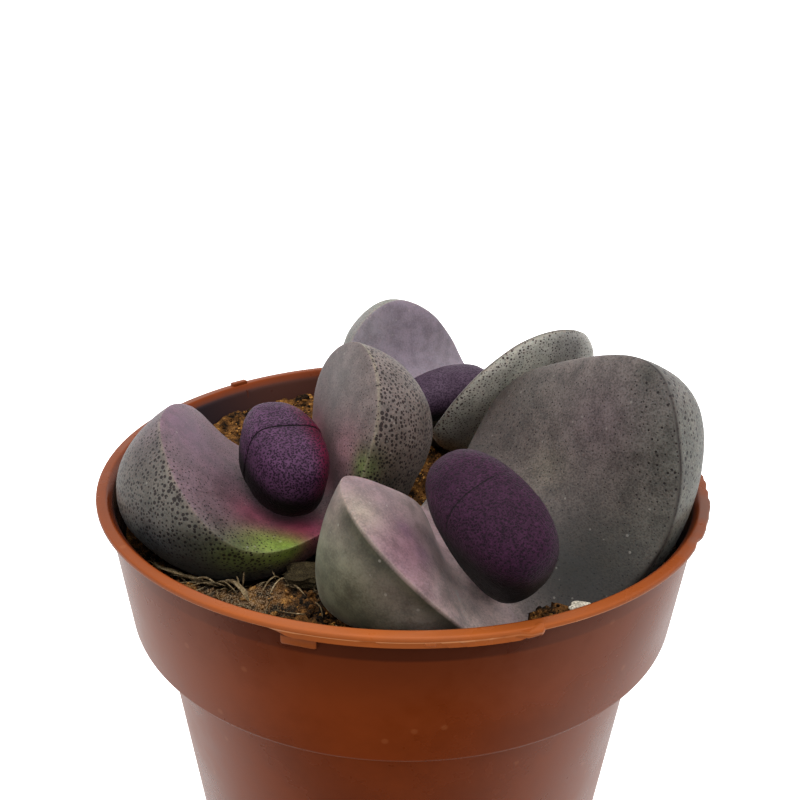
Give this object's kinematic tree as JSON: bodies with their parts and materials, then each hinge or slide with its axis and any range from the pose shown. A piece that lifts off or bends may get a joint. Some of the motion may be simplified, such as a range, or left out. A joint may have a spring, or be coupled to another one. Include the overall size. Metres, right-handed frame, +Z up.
{
  "type": "potted split rock",
  "caption": "Split rock succulent with pairs of stone-like leaves, rooted in crumbly soil in a round plastic nursery pot.",
  "frame": {"origin": "middle of the pot's base, on the surface that the pot stands on", "axes": "+Z up along the pot's axis, -Y towards the viewer of the picture, +X to the viewer's right"},
  "size_m": [0.085, 0.085, 0.0944],
  "materials": {
    "terracotta_plastic": "smooth moulded terracotta-coloured plastic, satin",
    "potting_soil": "coarse crumbly golden-brown potting soil, matte",
    "grey_mauve_leaf": "waxy grey-green and mauve leaf skin with small dark dots",
    "purple_young_leaf": "dark purple pebbled leaf skin with a fine pale meandering pattern",
    "pale_root": "pale corky root skin, matte",
    "dry_straw": "dry straw fibres, matte",
    "bark": "weathered grey-brown bark, matte",
    "pumice": "pale pitted pumice, matte"
  },
  "bodies": {
    "root": {"pot": "terracotta_plastic", "soil": "potting_soil", "left_head_leaves": "grey_mauve_leaf", "left_head_young_leaves": "purple_young_leaf", "left_head_taproot": "pale_root", "right_head_leaves": "grey_mauve_leaf", "right_head_young_leaves": "purple_young_leaf", "right_head_taproot": "pale_root", "back_head_leaves": "grey_mauve_leaf", "back_head_young_leaves": "purple_young_leaf", "back_head_taproot": "pale_root", "dry_fibres": "dry_straw", "bark_chip": "bark", "pumice_grain": "pumice"}
  },
  "joints": []
}
